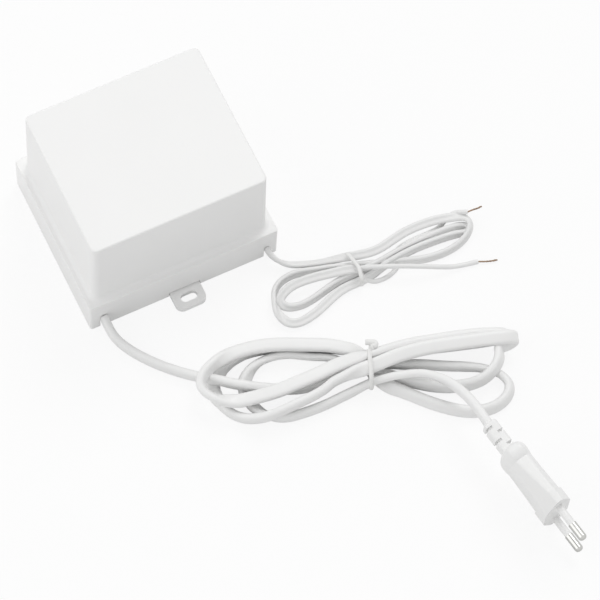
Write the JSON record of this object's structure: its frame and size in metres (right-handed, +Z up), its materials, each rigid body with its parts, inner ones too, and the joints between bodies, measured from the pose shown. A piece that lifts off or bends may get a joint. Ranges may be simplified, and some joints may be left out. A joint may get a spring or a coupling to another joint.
{
  "type": "control transformer",
  "caption": "Mains control transformer in a white moulded box with slotted mounting lugs, a mains lead with flat plug and a thin output lead with stripped ends.",
  "frame": {"origin": "middle of the box's footprint, on the surface that it stands on", "axes": "+Z up, -Y towards the wall that both leads leave by, +X towards the output lead's corner"},
  "size_m": [0.1915, 0.2914, 0.071],
  "materials": {
    "white_moulding": "satin moulded",
    "plug_plastic": "satin moulded",
    "white_pvc": "soft satin",
    "clear_white_pvc": "soft satin",
    "tie_plastic": "satin",
    "zinc_steel": "zinc plated",
    "lamination_steel": "varnished",
    "bobbin_nylon": "moulded",
    "enamelled_copper": "varnished",
    "yellow_tape": "film tape",
    "tinned_brass": "tinned",
    "fuse_metal": "drawn can",
    "brown_pvc": "insulation",
    "blue_pvc": "insulation",
    "bare_copper": "twisted strands",
    "plated_pin": "nickel plated"
  },
  "bodies": {
    "root": {"housing": "white_moulding", "base_plate": "white_moulding", "base_screws": "zinc_steel", "core_e_stack": "lamination_steel", "core_i_stack": "lamination_steel", "bobbin": "bobbin_nylon", "primary_winding": "enamelled_copper", "secondary_winding": "enamelled_copper", "primary_tape": "yellow_tape", "secondary_tape": "yellow_tape", "core_clamp": "zinc_steel", "clamp_bolts": "zinc_steel", "clamp_nuts": "zinc_steel", "winding_tags": "tinned_brass", "thermal_fuse": "fuse_metal", "mains_lead_inner": "white_pvc", "output_lead_inner": "clear_white_pvc", "line_wire": "brown_pvc", "neutral_wire": "blue_pvc", "output_wire_a": "clear_white_pvc", "output_wire_b": "clear_white_pvc", "mains_cord_grip": "white_moulding", "output_cord_grip": "white_moulding", "grip_screws": "zinc_steel", "mains_tie": "tie_plastic", "output_tie": "tie_plastic", "mains_hank": "white_pvc", "output_hank": "clear_white_pvc", "mains_lead": "white_pvc", "output_lead": "clear_white_pvc", "lower_core_end": "clear_white_pvc", "upper_core_end": "clear_white_pvc", "lower_conductor_tip": "bare_copper", "upper_conductor_tip": "bare_copper", "plug_body": "plug_plastic", "pin_sleeves": "plug_plastic", "plug_pins": "plated_pin", "plug_relief": "plug_plastic", "mains_tail": "white_pvc"}
  },
  "joints": []
}
